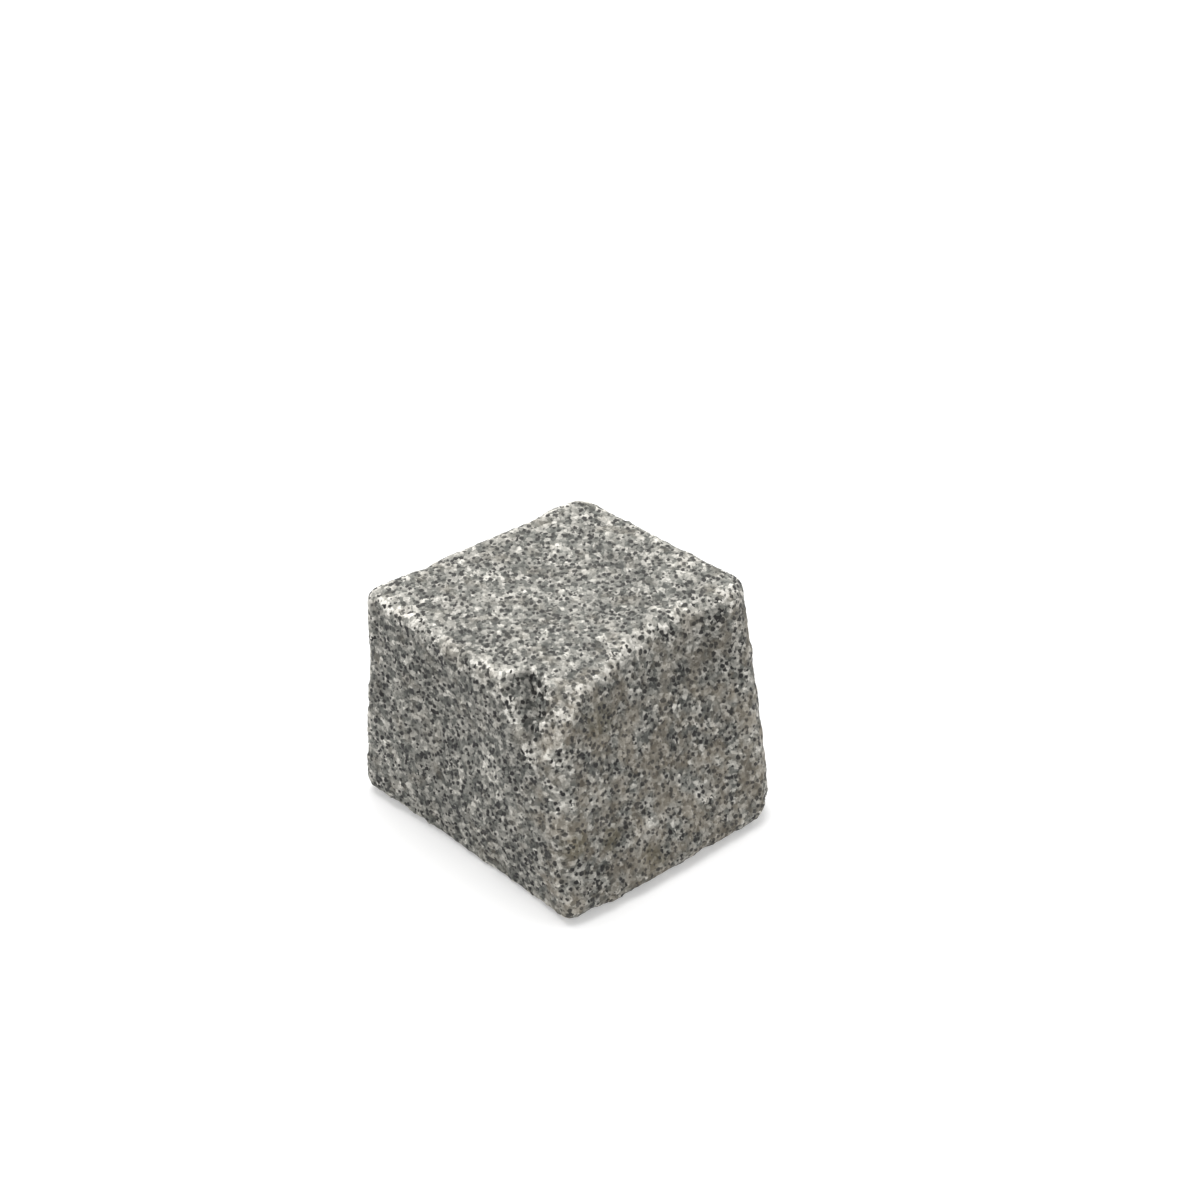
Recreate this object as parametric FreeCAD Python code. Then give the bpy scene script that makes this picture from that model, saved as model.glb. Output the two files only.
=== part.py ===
# One tumbled granite sett: a single split stone cube, worn round by tumbling.
# Millimetres. +Z is up, the sett stands on its bed face at Z = 0, and the origin is under its middle.
# Seen from above, +X is the length and +Y the width. "Front" is the -Y wall and "right" the +X wall.

import FreeCAD, Part
import math
import os
from FreeCAD import Vector

# Size of the split block before tumbling: its length and width at mid height, and its height in the middle
LENGTH = 116.6
WIDTH = 104.8
HEIGHT = 92.4

# The front, back and left walls split flat. Turn is how far a wall is swung round, seen from above, and
# lean how far it tips in towards the head, both in degrees.
FRONT_TURN, FRONT_LEAN = -0.7, 1.3
BACK_TURN, BACK_LEAN = 3.0, -1.0
LEFT_TURN, LEFT_LEAN = -6.2, 1.7

# The right wall split along a curve that swings from a belly at the foot to a deep hollow at the head. Its
# line at each level runs from just beyond the front wall to just beyond the back wall. Set back is how far
# the two ends of the line stand in from half the length, and the bows are how far it swings out from the
# straight, a third and two thirds of the way along.
RIGHT_OVERRUN = 6.0
RIGHT_FOOT_SET_BACK = (2.3, 3.8)
RIGHT_FOOT_BOWS = (4.0, 8.0)
RIGHT_HEAD_SET_BACK = (11.8, 8.2)
RIGHT_HEAD_BOWS = (-6.0, -32.0)

# The head split flat too, and rises towards the back and the left: its slopes up along X and Y, in degrees
HEAD_SLOPE_X = -0.9
HEAD_SLOPE_Y = 4.1

# Radius that tumbling gave the upright edges, the edges round the foot and those round the head
FRONT_LEFT_RADIUS = 7.0
FRONT_RIGHT_RADIUS = 7.0
BACK_RIGHT_RADIUS = 12.0
BACK_LEFT_RADIUS = 7.0
FOOT_RADIUS = 7.0
FRONT_HEAD_RADIUS = 3.5
RIGHT_HEAD_RADIUS = 5.0
BACK_HEAD_RADIUS = 7.0
LEFT_HEAD_RADIUS = 7.0

# Flakes came off the block as it was split and tumbled. For each: where it lay, measured from a corner of the
# block, which way its scar looks, and how wide and deep the scar is on a flat face.
# The deepest lowered the front right corner of the head.
CORNER_SPALL_FROM_CORNER = (-4.0, 8.0, 0.0)
CORNER_SPALL_FACING = (0.35, -0.42, 0.84)
CORNER_SPALL_WIDTH = 40.0
CORNER_SPALL_DEPTH = 4.5

# Beside it a wedge broke out of the front wall. It left two flat faces, which meet in a valley that rises into
# the head from the wedge's point on the wall.
WEDGE_POINT_FROM_CORNER = (-12.2, -0.5, -24.3)
WEDGE_LEFT_FACING = (0.78, -0.2, 0.6)
WEDGE_RIGHT_FACING = (-0.14, -0.88, 0.38)

# Two flakes blunted the back left corner of the head and the back right corner of the foot
HEAD_CHIP_FROM_CORNER = (0.0, 0.0, 0.0)
HEAD_CHIP_FACING = (-0.4, 0.5, 0.77)
HEAD_CHIP_WIDTH = 24.0
HEAD_CHIP_DEPTH = 2.0
FOOT_CHIP_FROM_CORNER = (0.0, 0.0, 0.0)
FOOT_CHIP_FACING = (0.6, 0.6, -0.5)
FOOT_CHIP_WIDTH = 26.0
FOOT_CHIP_DEPTH = 3.0

# The other flakes left a long scar along the front of the foot, and wide shallow hollows in the flat faces
FOOT_SCAR_FROM_CORNER = (-55.0, 0.0, 16.0)
FOOT_SCAR_FACING = (0.0, -1.0, -0.12)
FOOT_SCAR_WIDTH = 84.0
FOOT_SCAR_DEPTH = 1.5
HEAD_HOLLOW_FROM_CORNER = (-58.0, 50.0, 6.0)
HEAD_HOLLOW_FACING = (0.03, -0.06, 1.0)
HEAD_HOLLOW_WIDTH = 66.0
HEAD_HOLLOW_DEPTH = 1.4
FRONT_HOLLOW_FROM_CORNER = (-66.0, -6.0, -26.0)
FRONT_HOLLOW_FACING = (0.02, -1.0, -0.03)
FRONT_HOLLOW_WIDTH = 58.0
FRONT_HOLLOW_DEPTH = 1.8
LEFT_HOLLOW_FROM_CORNER = (-6.0, 60.0, 52.0)
LEFT_HOLLOW_FACING = (-1.0, 0.1, 0.05)
LEFT_HOLLOW_WIDTH = 58.0
LEFT_HOLLOW_DEPTH = 2.0
BACK_HOLLOW_FROM_CORNER = (-62.0, 6.0, 44.0)
BACK_HOLLOW_FACING = (-0.05, 1.0, 0.0)
BACK_HOLLOW_WIDTH = 56.0
BACK_HOLLOW_DEPTH = 2.0

# How far the tools that cut the block reach beyond it, so that their other sides stay clear of it
CLEAR = 4 * max(LENGTH, WIDTH, HEIGHT)

# Where the right wall's loft ends, in heights of the block: above the highest corner of the head
LOFT_TOP = 1.3

X_AXIS = Vector(1, 0, 0)
Y_AXIS = Vector(0, 1, 0)
Z_AXIS = Vector(0, 0, 1)


def right_outline(level):
    """The outline behind the right wall's line at a level, from 0 at the foot to 1 at the head."""
    set_back = [foot + (head - foot) * level for foot, head in zip(RIGHT_FOOT_SET_BACK, RIGHT_HEAD_SET_BACK)]
    bows = [foot + (head - foot) * level for foot, head in zip(RIGHT_FOOT_BOWS, RIGHT_HEAD_BOWS)]
    reach = WIDTH / 2 + RIGHT_OVERRUN
    front = Vector(LENGTH / 2 - set_back[0], -reach, level * HEIGHT)
    back = Vector(LENGTH / 2 - set_back[1], reach, level * HEIGHT)
    third = (back - front) / 3
    outward = third.cross(Z_AXIS).normalize()
    split = Part.BezierCurve()
    split.setPoles([front, front + third + outward * bows[0], front + third * 2 + outward * bows[1], back])
    front_end = front - third
    back_end = back + third
    inward = X_AXIS * CLEAR
    behind_it = Part.makePolygon([back, back_end, back_end - inward, front_end - inward, front_end, front])
    return Part.Wire([split.toShape()] + behind_it.Edges)


def behind_right_wall():
    """The solid behind the right wall, lofted from the foot to well above the head."""
    return Part.makeLoft([right_outline(0.0), right_outline(LOFT_TOP)], True, True)


def behind_face(middle, facing):
    """The solid behind a flat face."""
    solid = Part.makeBox(CLEAR, CLEAR, CLEAR, Vector(-CLEAR, -CLEAR / 2, -CLEAR / 2))
    solid.Placement = FreeCAD.Placement(middle, FreeCAD.Rotation(X_AXIS, facing))
    return solid


def behind_wall(outward, distance, turn, lean):
    """The solid behind a flat wall that stands a distance out at mid height."""
    level_facing = FreeCAD.Rotation(Z_AXIS, turn).multVec(outward)
    facing = level_facing * math.cos(math.radians(lean)) + Z_AXIS * math.sin(math.radians(lean))
    return behind_face(outward * distance + Z_AXIS * (HEIGHT / 2), facing)


def below_head():
    """The solid below the sloping head."""
    rise = Vector(math.tan(math.radians(HEAD_SLOPE_X)), math.tan(math.radians(HEAD_SLOPE_Y)), 0)
    return behind_face(Z_AXIS * HEIGHT, Z_AXIS - rise)


def split_block():
    """The block as split, with sharp edges and a flat bed."""
    block = behind_right_wall()
    block = block.common(behind_wall(-Y_AXIS, WIDTH / 2, FRONT_TURN, FRONT_LEAN))
    block = block.common(behind_wall(Y_AXIS, WIDTH / 2, BACK_TURN, BACK_LEAN))
    block = block.common(behind_wall(-X_AXIS, LENGTH / 2, LEFT_TURN, LEFT_LEAN))
    return block.common(below_head()).Solids[0]


def edge_towards(solid, direction):
    """The edge whose middle lies furthest in a direction."""
    return max(solid.Edges, key=lambda edge: edge.CenterOfMass.dot(direction))


def corner_towards(solid, direction):
    """The corner that lies furthest in a direction."""
    return max((vertex.Point for vertex in solid.Vertexes), key=lambda point: point.dot(direction))


def tumbled(block):
    """The block with each edge worn to its own radius, in one go, so that the corners blend."""
    wear = []
    for direction, radius in (
        (-X_AXIS - Y_AXIS, FRONT_LEFT_RADIUS),
        (X_AXIS - Y_AXIS, FRONT_RIGHT_RADIUS),
        (X_AXIS + Y_AXIS, BACK_RIGHT_RADIUS),
        (-X_AXIS + Y_AXIS, BACK_LEFT_RADIUS),
        (-Z_AXIS - Y_AXIS, FOOT_RADIUS),
        (-Z_AXIS + X_AXIS, FOOT_RADIUS),
        (-Z_AXIS + Y_AXIS, FOOT_RADIUS),
        (-Z_AXIS - X_AXIS, FOOT_RADIUS),
        (Z_AXIS - Y_AXIS, FRONT_HEAD_RADIUS),
        (Z_AXIS + X_AXIS, RIGHT_HEAD_RADIUS),
        (Z_AXIS + Y_AXIS, BACK_HEAD_RADIUS),
        (Z_AXIS - X_AXIS, LEFT_HEAD_RADIUS),
    ):
        edge = edge_towards(block, direction)
        number = 1 + next(i for i, other in enumerate(block.Edges) if other.isSame(edge))
        wear.append((number, radius, radius))
    document = FreeCAD.newDocument("sett")
    base = document.addObject("Part::Feature", "split_block")
    base.Shape = block
    worn = document.addObject("Part::Fillet", "tumbled")
    worn.Base = base
    worn.Edges = wear
    document.recompute()
    return worn.Shape.Solids[0]


def wedged(solid, corner, from_corner, left_facing, right_facing):
    """The solid less a wedge that lay in front of two flat faces."""
    point = corner + Vector(*from_corner)
    left = behind_face(point, -Vector(*left_facing))
    right = behind_face(point, -Vector(*right_facing))
    return solid.cut(left.common(right)).Solids[0]


def flaked(solid, corner, from_corner, facing, width, depth):
    """The solid less the shallow dished scar of one flake, struck off nearest to a point by one corner."""
    outward = Vector(*facing).normalize()
    struck = solid.Shells[0].distToShape(Part.Vertex(corner + Vector(*from_corner)))[1][0][0]
    radius = ((width / 2) ** 2 + depth**2) / (2 * depth)
    dish = Part.makeSphere(radius)
    # The ball's seam and poles are turned away from the part of it that cuts
    dish.Placement = FreeCAD.Placement(
        struck + outward * (radius - depth), FreeCAD.Rotation(X_AXIS, outward)
    )
    return solid.cut(dish).Solids[0]


block = split_block()
sett = tumbled(block)
head_front_right = corner_towards(block, X_AXIS - Y_AXIS + Z_AXIS)
head_back_left = corner_towards(block, -X_AXIS + Y_AXIS + Z_AXIS)
foot_front_right = corner_towards(block, X_AXIS - Y_AXIS - Z_AXIS)
foot_front_left = corner_towards(block, -X_AXIS - Y_AXIS - Z_AXIS)
foot_back_right = corner_towards(block, X_AXIS + Y_AXIS - Z_AXIS)
for corner, from_corner, facing, width, depth in (
    (head_front_right, CORNER_SPALL_FROM_CORNER, CORNER_SPALL_FACING, CORNER_SPALL_WIDTH, CORNER_SPALL_DEPTH),
    (head_front_right, HEAD_HOLLOW_FROM_CORNER, HEAD_HOLLOW_FACING, HEAD_HOLLOW_WIDTH, HEAD_HOLLOW_DEPTH),
    (head_front_right, FRONT_HOLLOW_FROM_CORNER, FRONT_HOLLOW_FACING, FRONT_HOLLOW_WIDTH, FRONT_HOLLOW_DEPTH),
    (head_back_left, HEAD_CHIP_FROM_CORNER, HEAD_CHIP_FACING, HEAD_CHIP_WIDTH, HEAD_CHIP_DEPTH),
    (foot_front_right, FOOT_SCAR_FROM_CORNER, FOOT_SCAR_FACING, FOOT_SCAR_WIDTH, FOOT_SCAR_DEPTH),
    (foot_back_right, FOOT_CHIP_FROM_CORNER, FOOT_CHIP_FACING, FOOT_CHIP_WIDTH, FOOT_CHIP_DEPTH),
    (foot_front_left, LEFT_HOLLOW_FROM_CORNER, LEFT_HOLLOW_FACING, LEFT_HOLLOW_WIDTH, LEFT_HOLLOW_DEPTH),
    (foot_back_right, BACK_HOLLOW_FROM_CORNER, BACK_HOLLOW_FACING, BACK_HOLLOW_WIDTH, BACK_HOLLOW_DEPTH),
):
    sett = flaked(sett, corner, from_corner, facing, width, depth)
sett = wedged(sett, head_front_right, WEDGE_POINT_FROM_CORNER, WEDGE_LEFT_FACING, WEDGE_RIGHT_FACING)

# The origin goes under the middle of the finished sett, on the bed
box = sett.optimalBoundingBox(False)
sett.translate(Vector(-box.Center.x, -box.Center.y, -box.ZMin))

os.makedirs("parts", exist_ok=True)
sett.exportStep("parts/sett.step")
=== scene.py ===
import bmesh
import bpy
import math
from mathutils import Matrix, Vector


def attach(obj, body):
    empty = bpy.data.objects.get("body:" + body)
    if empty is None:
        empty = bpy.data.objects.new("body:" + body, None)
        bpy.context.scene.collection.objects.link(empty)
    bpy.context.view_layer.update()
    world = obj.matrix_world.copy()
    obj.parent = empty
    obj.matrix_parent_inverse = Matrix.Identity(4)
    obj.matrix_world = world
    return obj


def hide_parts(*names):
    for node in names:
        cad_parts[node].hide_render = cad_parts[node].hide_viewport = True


# One tumbled granite sett on a pale studio floor. The stone's numbers are in millimetres, and the
# studio's in metres.
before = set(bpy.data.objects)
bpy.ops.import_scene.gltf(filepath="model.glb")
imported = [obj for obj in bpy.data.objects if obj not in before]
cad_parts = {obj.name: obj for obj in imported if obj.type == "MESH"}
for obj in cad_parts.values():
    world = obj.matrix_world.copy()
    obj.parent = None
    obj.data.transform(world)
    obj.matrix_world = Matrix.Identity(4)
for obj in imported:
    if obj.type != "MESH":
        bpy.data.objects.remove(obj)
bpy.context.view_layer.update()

MM = 0.001
WHITE = (1, 1, 1, 1)

# The sockets of a Mix node for colours: how much of the upper colour, the two colours, and the result
MIX_SHARE = 0
MIX_UNDER = 6
MIX_OVER = 7
MIX_RESULT = 2


def linear(colour):
    """An sRGB hex value such as "#8a8a86" as a linear colour."""
    values = []
    for start in (1, 3, 5):
        value = int(colour[start:start + 2], 16) / 255
        values.append(value / 12.92 if value <= 0.04045 else ((value + 0.055) / 1.055) ** 2.4)
    return (*values, 1.0)


def node(tree, kind, inputs=None, **settings):
    """Adds a node with its settings. An input takes a value, a socket, or a node for its first output."""
    made = tree.nodes.new(kind)
    for name, value in settings.items():
        setattr(made, name, value)
    for name, value in (inputs or {}).items():
        if isinstance(value, bpy.types.Node):
            value = value.outputs[0]
        if isinstance(value, bpy.types.NodeSocket):
            tree.links.new(value, made.inputs[name])
        else:
            made.inputs[name].default_value = value
    return made


# The camera looks down over the front right upright edge, through a long lens. Its target lies behind the
# sett, so that the sett stands low in the frame and left of its middle.
CAMERA_AZIMUTH = math.radians(47.8)
CAMERA_ELEVATION = math.radians(32.3)
CAMERA_DISTANCE = 1393 * MM
CAMERA_TARGET = Vector((-39.68, 50.65, 50.0)) * MM
CAMERA_LENS = 108.0
CAMERA_CLIP = (0.01, 50.0)


def add_camera():
    camera = bpy.data.objects.new("camera", bpy.data.cameras.new("camera"))
    bpy.context.collection.objects.link(camera)
    back = Vector((
        math.sin(CAMERA_AZIMUTH) * math.cos(CAMERA_ELEVATION),
        -math.cos(CAMERA_AZIMUTH) * math.cos(CAMERA_ELEVATION),
        math.sin(CAMERA_ELEVATION),
    ))
    camera.location = CAMERA_TARGET + back * CAMERA_DISTANCE
    camera.rotation_euler = back.to_track_quat("Z", "Y").to_euler()
    camera.data.lens = CAMERA_LENS
    camera.data.clip_start, camera.data.clip_end = CAMERA_CLIP
    bpy.context.scene.camera = camera


# A white room lights the stone from all round, and one softbox hangs over it
ROOM_LIGHT = 0.5
SOFTBOX_PLACE = Vector((-0.3, 0.1, 1.6))
SOFTBOX_AIM = Vector((0, 0, 0.05))
SOFTBOX_SIZE = 1.2
SOFTBOX_POWER = 24.0


def add_softbox():
    lamp = bpy.data.lights.new("overhead_softbox", "AREA")
    lamp.shape = "SQUARE"
    lamp.size = SOFTBOX_SIZE
    lamp.energy = SOFTBOX_POWER
    softbox = bpy.data.objects.new("overhead_softbox", lamp)
    bpy.context.collection.objects.link(softbox)
    softbox.location = SOFTBOX_PLACE
    softbox.rotation_euler = (SOFTBOX_PLACE - SOFTBOX_AIM).to_track_quat("Z", "Y").to_euler()


def seen_directly(tree):
    """1 where a surface is seen by the camera, in a reflection or through glass, and 0 where it lights."""
    path = node(tree, "ShaderNodeLightPath")
    seen = path.outputs["Is Camera Ray"]
    for ray in ("Is Glossy Ray", "Is Transmission Ray"):
        seen = node(tree, "ShaderNodeMath", {0: seen, 1: path.outputs[ray]}, operation="MAXIMUM")
    return seen


def add_white_room():
    """A white room that lights the stone softly, and is seen as plain white."""
    world = bpy.data.worlds.new("white_room")
    bpy.context.scene.world = world
    world.use_nodes = True
    tree = world.node_tree
    tree.nodes.clear()
    seen = seen_directly(tree)
    strength = node(tree, "ShaderNodeMapRange", {"Value": seen, "To Min": ROOM_LIGHT, "To Max": 1.0})
    light = node(tree, "ShaderNodeBackground", {"Color": WHITE, "Strength": strength})
    node(tree, "ShaderNodeOutputWorld", {"Surface": light})


# The floor's paper, how much it is lifted towards white where it is seen, and how far it reaches each way
PAPER = "#e6e6e6"
PAPER_LIFT = 0.35
FLOOR_REACH = 6.0


def paper_material():
    """Seamless matt white paper. It keeps the stone's soft shadow, and reads as white elsewhere."""
    paper = bpy.data.materials.new("matt_white_paper")
    paper.use_nodes = True
    tree = paper.node_tree
    tree.nodes.clear()
    matt = node(tree, "ShaderNodeBsdfDiffuse", {"Color": linear(PAPER)})
    lift = node(tree, "ShaderNodeEmission", {"Color": WHITE, "Strength": PAPER_LIFT})
    lifted = node(tree, "ShaderNodeAddShader", {0: matt, 1: lift})
    sheet = node(tree, "ShaderNodeMixShader", {0: seen_directly(tree), 1: matt, 2: lifted})
    node(tree, "ShaderNodeOutputMaterial", {"Surface": sheet})
    return paper


def add_floor():
    corners = [
        (x * FLOOR_REACH, y * FLOOR_REACH, 0) for x, y in ((-1, -1), (1, -1), (1, 1), (-1, 1))
    ]
    mesh = bpy.data.meshes.new("floor")
    mesh.from_pydata(corners, [], [(0, 1, 2, 3)])
    mesh.materials.append(paper_material())
    floor = bpy.data.objects.new("floor", mesh)
    bpy.context.collection.objects.link(floor)


# Relief of the stone's skin. The split left low swells, ripples and flat shards, grains stand up from it,
# tumbling knocked chips out of the edges, and the spalled corner broke into small steep shards. A lean is
# how steeply a shard may slope, and the bed margin is how far up from the flat bed the relief sets in.
RELIEF = {
    "Swell Width": 24.0,
    "Swell Height": 2.4,
    "Ripple Width": 7.0,
    "Ripple Height": 0.45,
    "Shard Width": 11.0,
    "Shard Lean": 0.05,
    "Grain Width": 2.3,
    "Grain Height": 0.3,
    "Chip Width": 9.0,
    "Chip Depth": 0.9,
    "Spall Width": 5.0,
    "Spall Lean": 0.3,
    "Spall Reach": 20.0,
    "Bed Margin": 1.5,
    "Seed": 0.0,
}

# The middle of the spalled corner, and how soft the creases between shards are
SPALL_MIDDLE = (32.0, -47.0, 78.0)
CREASE = 0.25

# Where a grain's dome and a chip's dish are full and end, as shares of their width, and the share of the
# places along an edge where tumbling bit a chip out
GRAIN_DOME = (0.0, 0.7)
CHIP_DISH = (0.15, 0.55)
CHIPPED_SHARE = 0.45

# How close together the loose corners of the solid's facets are joined, how wide the skin's own faces
# are, and how far smoothing takes the steps off them
JOINED_WITHIN = 0.002
SKIN_VOXEL = 0.85
SKIN_SMOOTHING = 0.5

# How often the skin is blurred to find what stands out from it: its grains, its edges, or its ridges and
# hollows
GRAIN_BLUR = 6
EDGE_BLUR = 24
FORM_BLUR = 90

# How far an edge stands out from its blurred surroundings where it begins, and where chips are full size
EDGE_FROM = 0.1
EDGE_TO = 0.4


def standing_out(tree, place, normal, blur):
    """How far a point stands out from its surroundings: more on crests, and negative in pits."""
    around = node(
        tree, "GeometryNodeBlurAttribute", {"Value": place.outputs[0], "Iterations": blur},
        data_type="FLOAT_VECTOR",
    )
    away = node(tree, "ShaderNodeVectorMath", {0: place, 1: around}, operation="SUBTRACT")
    along_normal = node(tree, "ShaderNodeVectorMath", {0: away, 1: normal}, operation="DOT_PRODUCT")
    return along_normal.outputs["Value"]


def domes(tree, place, width, full_and_end):
    """A dome in each cell of a width, from 0 at its rim to 1 at its top, and the cells themselves."""
    full, end = full_and_end
    scale = node(tree, "ShaderNodeMath", {0: 1.0, 1: width}, operation="DIVIDE")
    cells = node(tree, "ShaderNodeTexVoronoi", {"Vector": place, "Scale": scale})
    dome = node(
        tree, "ShaderNodeMapRange",
        {
            "Value": cells.outputs["Distance"], "From Min": full, "From Max": end,
            "To Min": 1.0, "To Max": 0.0,
        },
        interpolation_type="SMOOTHSTEP",
    )
    return dome, cells


def relief_tree(material):
    """Geometry nodes that lift and sink a fine skin along its normals, and leave the bed flat."""
    tree = bpy.data.node_groups.new("split_and_tumbled_relief", "GeometryNodeTree")
    sockets = tree.interface
    sockets.new_socket("Geometry", in_out="INPUT", socket_type="NodeSocketGeometry")
    for name in RELIEF:
        sockets.new_socket(name, in_out="INPUT", socket_type="NodeSocketFloat")
    sockets.new_socket("Geometry", in_out="OUTPUT", socket_type="NodeSocketGeometry")
    given = node(tree, "NodeGroupInput").outputs

    position = node(tree, "GeometryNodeInputPosition")
    place = node(tree, "ShaderNodeVectorMath", {0: position, "Scale": 1 / MM}, operation="SCALE")
    seeded = node(tree, "ShaderNodeVectorMath", {0: place, 1: given["Seed"]}, operation="ADD")
    normal = node(tree, "GeometryNodeInputNormal")

    # Humps and hollows on either side of the skin
    height = 0.0
    for name, octaves in (("Swell", 1.0), ("Ripple", 3.0)):
        scale = node(tree, "ShaderNodeMath", {0: 1.0, 1: given[name + " Width"]}, operation="DIVIDE")
        hump = node(tree, "ShaderNodeTexNoise", {"Vector": seeded, "Scale": scale, "Detail": octaves})
        hump = node(tree, "ShaderNodeMath", {0: hump, 1: 0.5}, operation="SUBTRACT")
        height = node(
            tree, "ShaderNodeMath", {0: hump, 1: given[name + " Height"], 2: height},
            operation="MULTIPLY_ADD",
        )

    # Shards are small flat facets, each leaning its own way. The spall's fade out towards its reach.
    off_middle = node(tree, "ShaderNodeVectorMath", {0: place, 1: SPALL_MIDDLE}, operation="DISTANCE")
    spall = node(
        tree, "ShaderNodeMapRange",
        {"Value": off_middle.outputs["Value"], "From Min": given["Spall Reach"], "From Max": 0.0},
        interpolation_type="SMOOTHSTEP",
    )
    for name, where in (("Shard", 1.0), ("Spall", spall)):
        scale = node(tree, "ShaderNodeMath", {0: 1.0, 1: given[name + " Width"]}, operation="DIVIDE")
        facet = node(
            tree, "ShaderNodeTexVoronoi", {"Vector": seeded, "Scale": scale, "Smoothness": CREASE},
            feature="SMOOTH_F1",
        )
        from_middle = node(
            tree, "ShaderNodeVectorMath", {0: seeded, 1: facet.outputs["Position"]}, operation="SUBTRACT",
        )
        slope = node(
            tree, "ShaderNodeVectorMath", {0: facet.outputs["Color"], 1: (2, 2, 2), 2: (-1, -1, -1)},
            operation="MULTIPLY_ADD",
        )
        rise = node(tree, "ShaderNodeVectorMath", {0: from_middle, 1: slope}, operation="DOT_PRODUCT")
        lean = node(tree, "ShaderNodeMath", {0: given[name + " Lean"], 1: where}, operation="MULTIPLY")
        height = node(
            tree, "ShaderNodeMath", {0: rise.outputs["Value"], 1: lean, 2: height},
            operation="MULTIPLY_ADD",
        )

    # Grains are little domes
    dome, _ = domes(tree, seeded, given["Grain Width"], GRAIN_DOME)
    height = node(
        tree, "ShaderNodeMath", {0: dome, 1: given["Grain Height"], 2: height}, operation="MULTIPLY_ADD",
    )

    # Chips are dishes bitten out of the edges, in some of their cells
    broad = standing_out(tree, place, normal, EDGE_BLUR)
    edge = node(tree, "ShaderNodeMapRange", {"Value": broad, "From Min": EDGE_FROM, "From Max": EDGE_TO})
    dish, cells = domes(tree, seeded, given["Chip Width"], CHIP_DISH)
    lot = node(tree, "ShaderNodeSeparateXYZ", {0: cells.outputs["Color"]}).outputs["X"]
    bitten = node(tree, "ShaderNodeMath", {0: lot, 1: CHIPPED_SHARE}, operation="LESS_THAN")
    for factor in (edge, bitten, given["Chip Depth"]):
        dish = node(tree, "ShaderNodeMath", {0: dish, 1: factor}, operation="MULTIPLY")
    height = node(tree, "ShaderNodeMath", {0: height, 1: dish}, operation="SUBTRACT")

    # The bed stays flat, and the relief grows from there
    level = node(tree, "ShaderNodeSeparateXYZ", {0: place}).outputs["Z"]
    raised = node(tree, "ShaderNodeMapRange", {"Value": level, "From Max": given["Bed Margin"]})
    for factor in (raised, MM):
        height = node(tree, "ShaderNodeMath", {0: height, 1: factor}, operation="MULTIPLY")
    offset = node(tree, "ShaderNodeVectorMath", {0: normal, "Scale": height}, operation="SCALE")

    # The material reads what stands out: edges and ridges before the relief, and grains after it. From
    # these it finds the crushed edges, paints shade into the pits and hollows, and paints light onto the
    # grains' crests.
    geometry = given["Geometry"]
    wide = standing_out(tree, place, normal, FORM_BLUR)
    for name, value in (("broad_crest", broad), ("wide_crest", wide)):
        geometry = node(
            tree, "GeometryNodeStoreNamedAttribute", {"Geometry": geometry, "Name": name, "Value": value},
            data_type="FLOAT", domain="POINT",
        )
    geometry = node(tree, "GeometryNodeSetPosition", {"Geometry": geometry, "Offset": offset})
    fine = standing_out(tree, place, normal, GRAIN_BLUR)
    geometry = node(
        tree, "GeometryNodeStoreNamedAttribute",
        {"Geometry": geometry, "Name": "fine_crest", "Value": fine},
        data_type="FLOAT", domain="POINT",
    )
    geometry = node(tree, "GeometryNodeSetShadeSmooth", {"Geometry": geometry})
    geometry = node(tree, "GeometryNodeRealizeInstances", {"Geometry": geometry})
    geometry = node(tree, "GeometryNodeSetMaterial", {"Geometry": geometry, "Material": material})
    node(tree, "NodeGroupOutput", {"Geometry": geometry})
    return tree


# Minerals of a fine-grained grey granite, by tone, from smoky quartz to white feldspar
MINERALS = (
    (0.12, "#4f504d"),
    (0.35, "#757671"),
    (0.50, "#8f8e88"),
    (0.65, "#aaa8a1"),
    (0.85, "#d0cdc5"),
    (1.00, "#ece9e1"),
)
BIOTITE = "#1e1d1c"
RUSTY_FELDSPAR = "#8f8473"
OCHRE = "#6f664e"
STONE_DUST = "#92918b"

# How wide a crystal and the grains that it is made up of are, how much of its tone comes from the whole
# crystal and how much from the grain, and how far its broken face is slanted
CRYSTAL = 2.0
GRAIN = 1.25
CRYSTAL_TONE = 0.6
GRAIN_TONE = 0.4
CRYSTAL_TILT = 0.38

# Each grain is domed: where its dome ends, as a share of its width, how far it rises, and how strongly
# that is shaded
GRAIN_EDGE = 0.8
GRAIN_RISE = 0.3
GRAIN_SHADING = 0.6

# The line of the stone's rift, along which its crystals are drawn out, and by how many times. It was set
# along the camera's line of sight, so that the crystals look round from there and longer from elsewhere.
RIFT = Vector((0.63, -0.57, 0.53)).normalized()
RIFT_STRETCH = 1.5

# Biotite flecks: how far apart they lie, their radius as a share of that, the soft rim round one, and the
# share of the grains between them that are specks of biotite
FLECK_SPACING = 2.15
FLECK_RADIUS = (0.12, 0.5)
FLECK_RIM = (-0.06, 0.1)
SPECK_SHARE = 0.07

# Patches of rusty feldspar: how wide they are, where in their noise one begins and is full, how much more
# of it the weathered wall has, how warm they are on sound and on weathered stone, and the share of its
# flecks that a patch keeps
PATCH = 9.0
PATCH_NOISE = (0.52, 0.72)
PATCH_WEATHERED = 0.12
PATCH_WARMTH = (0.25, 0.5)
PATCH_FLECKS = 0.75

# How wide the faint clouds over the whole stone are
CLOUD = 16.0

# Marks and crystals have uneven outlines: how wide the bends in them are, and how far they reach
MARK_BENDS = (4.0, 9.0)
CRYSTAL_BENDS = (1.0, 1.2)

# The right wall is the most weathered, and painted shade darkens it as well: how far out along X the
# change begins and is complete
WEATHERED_AND_SHADED_FROM = 28.0
WEATHERED_AND_SHADED_TO = 50.0

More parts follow.
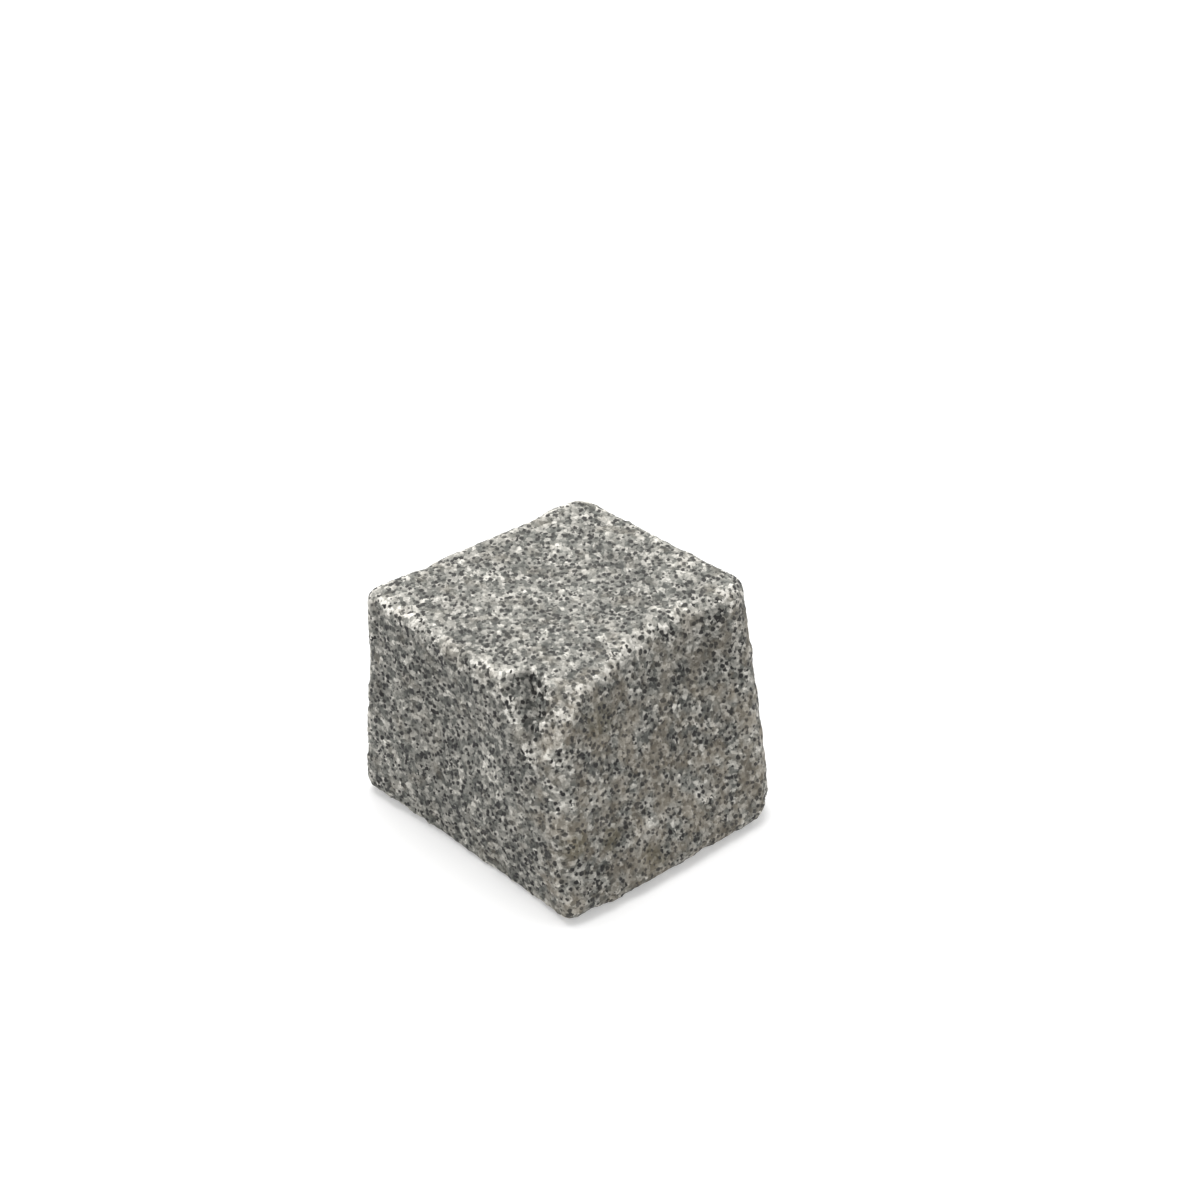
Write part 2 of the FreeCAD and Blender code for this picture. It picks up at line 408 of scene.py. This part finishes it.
# Tumbling crushed the edges in spots, given as the attribute that finds an edge, how far it stands out
# where crushing begins and is full, how strong that is, and how wide its spots are
CRUSHED_EDGES = (
    ("broad_crest", 0.2, 0.6, 0.8, 2.0),
    ("wide_crest", 0.2, 1.2, 0.7, 3.0),
)
SPOT_NOISE = (0.4, 0.6)

# How much crushing raises the tone. Edges are crushed less near the foot: their share there, and the
# levels between which it grows to the whole
CRUSHED_TONE = 0.4
FOOT_SHARE = 0.3
FOOT_LEVELS = (8.0, 50.0)

# Blows bruised the rims of the head and of its spalled corner, the upright edge below that and a few
# places on the walls: the middle, the radius and the strength of each bruise
BRUISES = (
    ((-2.0, -51.9, 84.6), 5.0, 0.55),
    ((8.0, -52.1, 83.3), 5.0, 0.55),
    ((18.5, -52.2, 81.7), 5.0, 0.55),
    ((42.1, -20.6, 88.3), 4.5, 0.45),
    ((38.6, -6.8, 89.9), 4.5, 0.35),
    ((26.2, -51.2, 78.7), 4.0, 0.9),
    ((30.8, -52.6, 72.2), 4.0, 0.9),
    ((35.7, -52.2, 66.0), 4.5, 1.0),
    ((39.7, -52.9, 63.1), 4.5, 1.0),
    ((40.6, -50.3, 71.0), 4.0, 0.7),
    ((41.9, -47.2, 78.8), 3.5, 0.7),
    ((46.8, -43.0, 83.2), 3.5, 1.0),
    ((46.4, -37.9, 86.2), 3.0, 1.0),
    ((50.2, -51.9, 53.8), 6.0, 0.5),
    ((50.0, -53.3, 39.1), 7.0, 0.5),
    ((51.8, -53.6, 26.1), 6.0, 0.6),
    ((17.4, -52.3, 45.6), 9.0, 0.4),
    ((57.2, -13.6, 22.7), 9.0, 0.7),
    ((53.3, -33.7, 45.5), 7.0, 0.5),
    ((55.8, 16.9, 25.3), 8.0, 0.5),
)

# Rust has stained the right wall here and there, given in the same way
STAINS = (
    ((56.0, -47.7, 32.5), 7.0, 0.6),
    ((56.4, -30.6, 28.0), 7.0, 0.5),
    ((59.7, -12.3, 12.6), 8.0, 0.5),
    ((47.2, -28.2, 73.6), 13.0, 0.4),
)

# A mark is at its full strength within this share of its radius
MARK_CORE = 0.3

# Stone dust lies where the skin faces upwards by this much, and covers this share of the colour
DUST_SLOPE = (0.3, 0.9)
DUST_COVER = 0.09

# Quartz and feldspar bend light alike. The broken skin has half the gloss of a polished one, and it is
# rough, but for the flat flakes of biotite, which glint a little.
QUARTZ_IOR = 1.54
GLOSS = 0.25
ROUGH = 0.85
GLINTING = 0.55


def strongest_mark(tree, place, marks):
    """The strength of the strongest mark at a place. Each fades out towards its radius."""
    strongest = 0.0
    for middle, radius, strength in marks:
        away = node(tree, "ShaderNodeVectorMath", {0: place, 1: middle}, operation="DISTANCE")
        mark = node(
            tree, "ShaderNodeMapRange",
            {
                "Value": away.outputs["Value"], "From Min": radius, "From Max": MARK_CORE * radius,
                "To Max": strength,
            },
            interpolation_type="SMOOTHSTEP",
        )
        strongest = node(tree, "ShaderNodeMath", {0: mark, 1: strongest}, operation="MAXIMUM")
    return strongest


def shifted(tree, place, width_and_reach):
    """A place shifted about by a noise, so that what is drawn from it has an uneven outline."""
    width, reach = width_and_reach
    noise = node(tree, "ShaderNodeTexNoise", {"Vector": place, "Scale": 1 / width, "Detail": 2.0})
    shift = node(
        tree, "ShaderNodeVectorMath", {0: noise.outputs["Color"], 1: (0.5, 0.5, 0.5)},
        operation="SUBTRACT",
    )
    return node(
        tree, "ShaderNodeVectorMath", {0: shift, 1: (reach, reach, reach), 2: place},
        operation="MULTIPLY_ADD",
    )


def drawn_out(tree, place):
    """A place squeezed along the rift, so that what is drawn from it is drawn out along it."""
    squeeze = RIFT * (1 / RIFT_STRETCH - 1)
    along = node(tree, "ShaderNodeVectorMath", {0: place, 1: RIFT}, operation="DOT_PRODUCT")
    back = node(
        tree, "ShaderNodeVectorMath", {0: squeeze, "Scale": along.outputs["Value"]}, operation="SCALE",
    )
    return node(tree, "ShaderNodeVectorMath", {0: place, 1: back}, operation="ADD")


def crushed(tree, place, level, mark_place):
    """How far the stone is crushed, from 0 to 1: in spots along its edges, and in its bruises."""
    crush = 0.0
    for name, start, full, strength, spot in CRUSHED_EDGES:
        crest = node(tree, "ShaderNodeAttribute", attribute_name=name).outputs["Fac"]
        crest = node(
            tree, "ShaderNodeMapRange",
            {"Value": crest, "From Min": start, "From Max": full, "To Max": strength},
            interpolation_type="SMOOTHSTEP",
        )
        spots = node(tree, "ShaderNodeTexNoise", {"Vector": place, "Scale": 1 / spot, "Detail": 3.0})
        spots = node(
            tree, "ShaderNodeMapRange",
            {"Value": spots, "From Min": SPOT_NOISE[0], "From Max": SPOT_NOISE[1]},
        )
        spots = node(tree, "ShaderNodeMath", {0: spots, 1: crest}, operation="MULTIPLY")
        crush = node(tree, "ShaderNodeMath", {0: spots, 1: crush}, operation="MAXIMUM")
    above_foot = node(
        tree, "ShaderNodeMapRange",
        {"Value": level, "From Min": FOOT_LEVELS[0], "From Max": FOOT_LEVELS[1], "To Min": FOOT_SHARE},
    )
    crush = node(tree, "ShaderNodeMath", {0: crush, 1: above_foot}, operation="MULTIPLY")
    bruised = strongest_mark(tree, mark_place, BRUISES)
    return node(tree, "ShaderNodeMath", {0: crush, 1: bruised}, operation="MAXIMUM")


def granite_material():
    """Fine-grained grey granite, split and then tumbled.

    To the eye it is matt salt and pepper: pale feldspar, smoky quartz and black biotite, paler where its
    edges are crushed, and warmer and browner on its weathered right wall. Shade is painted into its pits
    and hollows and onto its right wall, and light is painted onto the crests of its grains.
    """
    granite = bpy.data.materials.new("split_tumbled_granite")
    granite.use_nodes = True
    tree = granite.node_tree
    tree.nodes.clear()
    here = node(tree, "ShaderNodeTexCoord").outputs["Object"]
    place = node(tree, "ShaderNodeVectorMath", {0: here, "Scale": 1 / MM}, operation="SCALE")
    measured = node(tree, "ShaderNodeSeparateXYZ", {0: place}).outputs
    mark_place = shifted(tree, place, MARK_BENDS)
    crystal_place = drawn_out(tree, shifted(tree, place, CRYSTAL_BENDS))

    # Ragged crystals of quartz and feldspar, each made up of smaller grains of its own tone. Where they
    # are crushed, they are paler.
    crystals = node(tree, "ShaderNodeTexVoronoi", {"Vector": crystal_place, "Scale": 1 / CRYSTAL})
    grains = node(tree, "ShaderNodeTexVoronoi", {"Vector": crystal_place, "Scale": 1 / GRAIN})
    crystal_lot = node(tree, "ShaderNodeSeparateColor", {0: crystals.outputs["Color"]}).outputs
    grain_lot = node(tree, "ShaderNodeSeparateColor", {0: grains.outputs["Color"]}).outputs
    crush = crushed(tree, place, measured["Z"], mark_place)
    tone = 0.0
    for value, share in (
        (grain_lot["Red"], GRAIN_TONE), (crystal_lot["Red"], CRYSTAL_TONE), (crush, CRUSHED_TONE),
    ):
        tone = node(tree, "ShaderNodeMath", {0: value, 1: share, 2: tone}, operation="MULTIPLY_ADD")
    minerals = node(tree, "ShaderNodeValToRGB", {0: tone})
    ramp = minerals.color_ramp
    for position, colour in MINERALS[1:-1]:
        ramp.elements.new(position)
    for stop, (position, colour) in zip(ramp.elements, MINERALS):
        stop.position = position
        stop.color = linear(colour)

    # Altered feldspar lies in faint patches, warmer and less speckled, and most of all on the right wall
    # The right wall: it carries the wall's weathering, and the painted shade that darkens the wall below
    weathered_and_shaded_wall = node(
        tree, "ShaderNodeMapRange",
        {"Value": measured["X"], "From Min": WEATHERED_AND_SHADED_FROM, "From Max": WEATHERED_AND_SHADED_TO},
        interpolation_type="SMOOTHSTEP",
    )
    patches = node(
        tree, "ShaderNodeTexNoise",
        {"Vector": place, "Scale": 1 / PATCH, "Detail": 2.0, "Roughness": 0.6},
    )
    patches = node(
        tree, "ShaderNodeMath", {0: weathered_and_shaded_wall, 1: PATCH_WEATHERED, 2: patches}, operation="MULTIPLY_ADD",
    )
    patch = node(
        tree, "ShaderNodeMapRange",
        {"Value": patches, "From Min": PATCH_NOISE[0], "From Max": PATCH_NOISE[1]},
    )
    warmth = node(
        tree, "ShaderNodeMapRange",
        {"Value": weathered_and_shaded_wall, "To Min": PATCH_WARMTH[0], "To Max": PATCH_WARMTH[1]},
    )
    warmth = node(tree, "ShaderNodeMath", {0: patch, 1: warmth}, operation="MULTIPLY")
    stain = strongest_mark(tree, mark_place, STAINS)

    # Biotite: a ragged fleck in each cell, each of its own size, and smaller specks between them
    flecks = node(
        tree, "ShaderNodeTexVoronoi",
        {"Vector": crystal_place, "Scale": 1 / FLECK_SPACING, "Randomness": 0.85},
    )
    fleck_lot = node(tree, "ShaderNodeSeparateColor", {0: flecks.outputs["Color"]}).outputs
    radius = node(
        tree, "ShaderNodeMapRange",
        {"Value": fleck_lot["Green"], "To Min": FLECK_RADIUS[0], "To Max": FLECK_RADIUS[1]},
    )
    inside = node(tree, "ShaderNodeMath", {0: radius, 1: flecks.outputs["Distance"]}, operation="SUBTRACT")
    fleck = node(
        tree, "ShaderNodeMapRange",
        {"Value": inside, "From Min": FLECK_RIM[0], "From Max": FLECK_RIM[1]},
    )
    speck = node(tree, "ShaderNodeMath", {0: grain_lot["Blue"], 1: SPECK_SHARE}, operation="LESS_THAN")
    dark = node(tree, "ShaderNodeMath", {0: fleck, 1: speck}, operation="MAXIMUM")
    fewer = node(tree, "ShaderNodeMapRange", {"Value": patch, "To Min": 1.0, "To Max": PATCH_FLECKS})
    dark = node(tree, "ShaderNodeMath", {0: dark, 1: fewer}, operation="MULTIPLY")

    # A thin film of the stone's own dust lies on the head and takes the edge off its speckles
    facing = node(tree, "ShaderNodeNewGeometry").outputs["Normal"]
    upward = node(tree, "ShaderNodeSeparateXYZ", {0: facing}).outputs["Z"]
    dust = node(
        tree, "ShaderNodeMapRange",
        {"Value": upward, "From Min": DUST_SLOPE[0], "From Max": DUST_SLOPE[1], "To Max": DUST_COVER},
    )

    # Each of these lies over the minerals and over those before it
    stone = minerals
    for share, colour in (
        (warmth, RUSTY_FELDSPAR), (stain, OCHRE), (dark, BIOTITE), (dust, STONE_DUST),
    ):
        covered = node(
            tree, "ShaderNodeMix", {MIX_SHARE: share, MIX_UNDER: stone, MIX_OVER: linear(colour)},
            data_type="RGBA",
        )
        stone = covered.outputs[MIX_RESULT]

    # The stone is darker in wide faint clouds of its own tone. Shade is painted into the pits between
    # grains, into the hollows and onto the right wall, and light is painted onto the grains' crests. Each
    # gives a value, where its change begins and ends, and the shade there.
    clouds = node(tree, "ShaderNodeTexNoise", {"Vector": place, "Scale": 1 / CLOUD, "Detail": 2.0})
    # Painted shade in the pits between grains, and painted light on the grains' crests
    painted_pit_shade_and_crest_light = node(tree, "ShaderNodeAttribute", attribute_name="fine_crest").outputs["Fac"]
    # Painted shade in the hollows
    painted_hollow_shade = node(tree, "ShaderNodeAttribute", attribute_name="wide_crest").outputs["Fac"]
    shade = 1.0
    for value, start, end, darkest, lightest in (
        (clouds, 0.3, 0.7, 0.86, 1.14),
        (painted_pit_shade_and_crest_light, -0.2, 0.2, 0.7, 1.3),
        (painted_hollow_shade, -0.8, -0.1, 0.75, 1.0),
        # Painted shade on the right wall
        (weathered_and_shaded_wall, 1.0, 0.0, 0.95, 1.0),
    ):
        change = node(
            tree, "ShaderNodeMapRange",
            {"Value": value, "From Min": start, "From Max": end, "To Min": darkest, "To Max": lightest},
        )
        shade = node(tree, "ShaderNodeMath", {0: change, 1: shade}, operation="MULTIPLY")
    shaded = node(
        tree, "ShaderNodeMix", {MIX_SHARE: 1.0, MIX_UNDER: stone, MIX_OVER: shade},
        data_type="RGBA", blend_type="MULTIPLY",
    )

    # Each crystal broke at its own slant, so each takes the light differently, and its grains are domed
    slant = node(
        tree, "ShaderNodeVectorMath", {0: crystals.outputs["Color"], 1: (0.5, 0.5, 0.5)},
        operation="SUBTRACT",
    )
    slant = node(
        tree, "ShaderNodeVectorMath", {0: slant, 1: (CRYSTAL_TILT,) * 3, 2: facing},
        operation="MULTIPLY_ADD",
    )
    slant = node(tree, "ShaderNodeVectorMath", {0: slant}, operation="NORMALIZE")
    dome = node(
        tree, "ShaderNodeMapRange",
        {"Value": grains.outputs["Distance"], "From Max": GRAIN_EDGE, "To Min": 1.0, "To Max": 0.0},
    )
    domed = node(
        tree, "ShaderNodeBump",
        {"Height": dome, "Normal": slant, "Strength": GRAIN_SHADING, "Distance": GRAIN_RISE * MM},
    )

    roughness = node(tree, "ShaderNodeMapRange", {"Value": dark, "To Min": ROUGH, "To Max": GLINTING})
    skin = node(
        tree, "ShaderNodeBsdfPrincipled",
        {
            "Base Color": shaded.outputs[MIX_RESULT], "Roughness": roughness, "Normal": domed,
            "IOR": QUARTZ_IOR, "Specular IOR Level": GLOSS,
        },
    )
    node(tree, "ShaderNodeOutputMaterial", {"Surface": skin})
    return granite


def plain_mesh(source, name):
    """What an object's modifiers make of it, as a mesh of its own."""
    graph = bpy.context.evaluated_depsgraph_get()
    mesh = bpy.data.meshes.new_from_object(source.evaluated_get(graph))
    mesh.name = name
    return mesh


def add_sett():
    # The solid's loose triangles are joined up
    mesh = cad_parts["sett"].data.copy()
    form = bmesh.new()
    form.from_mesh(mesh)
    bmesh.ops.remove_doubles(form, verts=form.verts, dist=JOINED_WITHIN * MM)
    form.to_mesh(mesh)
    form.free()
    mesh.materials.clear()
    stone = bpy.data.objects.new("stone", mesh)
    bpy.context.collection.objects.link(stone)

    # A skin of even small faces takes the relief
    voxels = stone.modifiers.new("even_skin", "REMESH")
    voxels.mode = "VOXEL"
    voxels.voxel_size = SKIN_VOXEL * MM
    soften = stone.modifiers.new("soften_steps", "SMOOTH")
    soften.factor = SKIN_SMOOTHING
    soften.iterations = 1
    stone.data = plain_mesh(stone, "stone_skin")
    stone.modifiers.clear()

    relief = stone.modifiers.new("relief", "NODES")
    relief.node_group = relief_tree(granite_material())
    for socket in relief.node_group.interface.items_tree:
        if socket.name in RELIEF:
            relief[socket.identifier] = RELIEF[socket.name]
    stone.data = plain_mesh(stone, "sett_skin")
    stone.modifiers.clear()

    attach(stone, "root")
    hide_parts("sett")


bpy.context.scene.view_settings.view_transform = "Standard"
add_camera()
add_white_room()
add_softbox()
add_floor()
add_sett()
